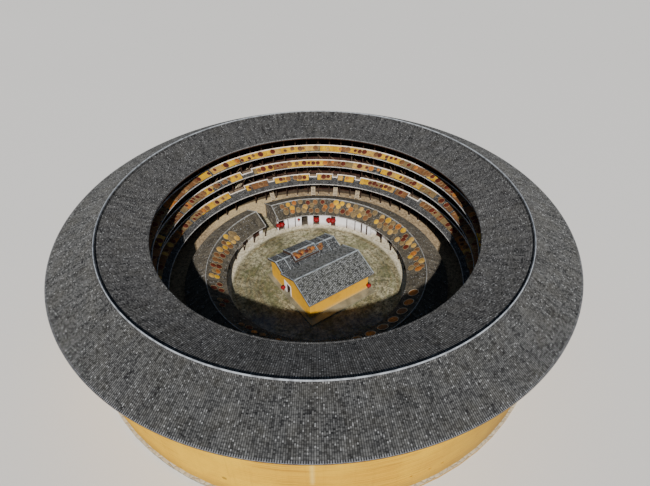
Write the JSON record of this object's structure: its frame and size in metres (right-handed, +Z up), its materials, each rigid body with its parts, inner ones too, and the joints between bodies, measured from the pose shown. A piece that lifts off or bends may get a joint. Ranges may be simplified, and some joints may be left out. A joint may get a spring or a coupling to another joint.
{
  "type": "tulou roundhouse at 1:2 scale",
  "caption": "Half-size model of a round earth house: a thick outer wall and tiled ring roof around open galleries, a low inner ring and a central hall.",
  "frame": {"origin": "on the axis of the rings, at the level of the lowest ground, which is the underside of the foundation", "axes": "+Z up, -Y towards the gate, +X to the right of someone who looks from the hall to the back, away from the gate"},
  "size_m": [35, 35, 8.625],
  "materials": {
    "earth": "rough rammed earth",
    "stone": "rough stone",
    "paving": "worn stone paving",
    "tile": "grey clay tiles",
    "lime": "lime mortar",
    "timber": "dark weathered timber",
    "boards": "dark weathered boards",
    "plaster": "lime plaster",
    "ochre": "ochre plaster"
  },
  "bodies": {
    "root": {"stone_foundation": "stone", "courtyard_floor": "paving", "outer_wall_front_right": "earth", "outer_wall_right": "earth", "outer_wall_back_right": "earth", "outer_wall_back": "earth", "outer_wall_back_left": "earth", "outer_wall_left": "earth", "outer_wall_front_left": "earth", "gate_wall_right": "earth", "gate_wall_left": "earth", "gate_wall_above": "earth", "gate_frame": "stone", "gate_steps": "stone", "floor_2": "boards", "floor_3": "boards", "floor_4": "boards", "room_fronts_1": "boards", "room_fronts_2": "boards", "room_fronts_3": "boards", "room_fronts_4": "boards", "arcade_posts_1": "timber", "stairs_ground_1": "stone", "stairs_ground_2": "stone", "stairs_ground_3": "stone", "stairs_ground_4": "stone", "stairs_upper": "boards", "gallery_parapet_2": "timber", "gallery_parapet_3": "timber", "gallery_parapet_4": "timber", "pent_roof_2": "tile", "pent_roof_3": "tile", "pent_roof_4": "tile", "main_roof_outer": "tile", "main_roof_inner": "tile", "main_ridge": "lime", "inner_ring_roof_lane": "tile", "inner_ring_roof_court": "tile", "inner_ring_ridge": "lime", "inner_ring_outer_wall": "earth", "inner_ring_court_wall": "plaster", "inner_ring_white_front": "plaster", "inner_ring_posts": "timber", "inner_ring_gable_right": "plaster", "inner_ring_gable_left": "plaster", "hall_platform": "stone", "hall_wall_right": "ochre", "hall_wall_left": "ochre", "hall_wall_back": "ochre", "hall_wall_front": "ochre", "hall_main_roof": "tile", "hall_front_roof_left": "tile", "hall_front_ridge_left": "lime", "hall_front_roof_middle": "tile", "hall_front_ridge_middle": "lime", "hall_front_roof_right": "tile", "hall_front_ridge_right": "lime", "hall_main_ridge": "lime"}
  },
  "joints": []
}
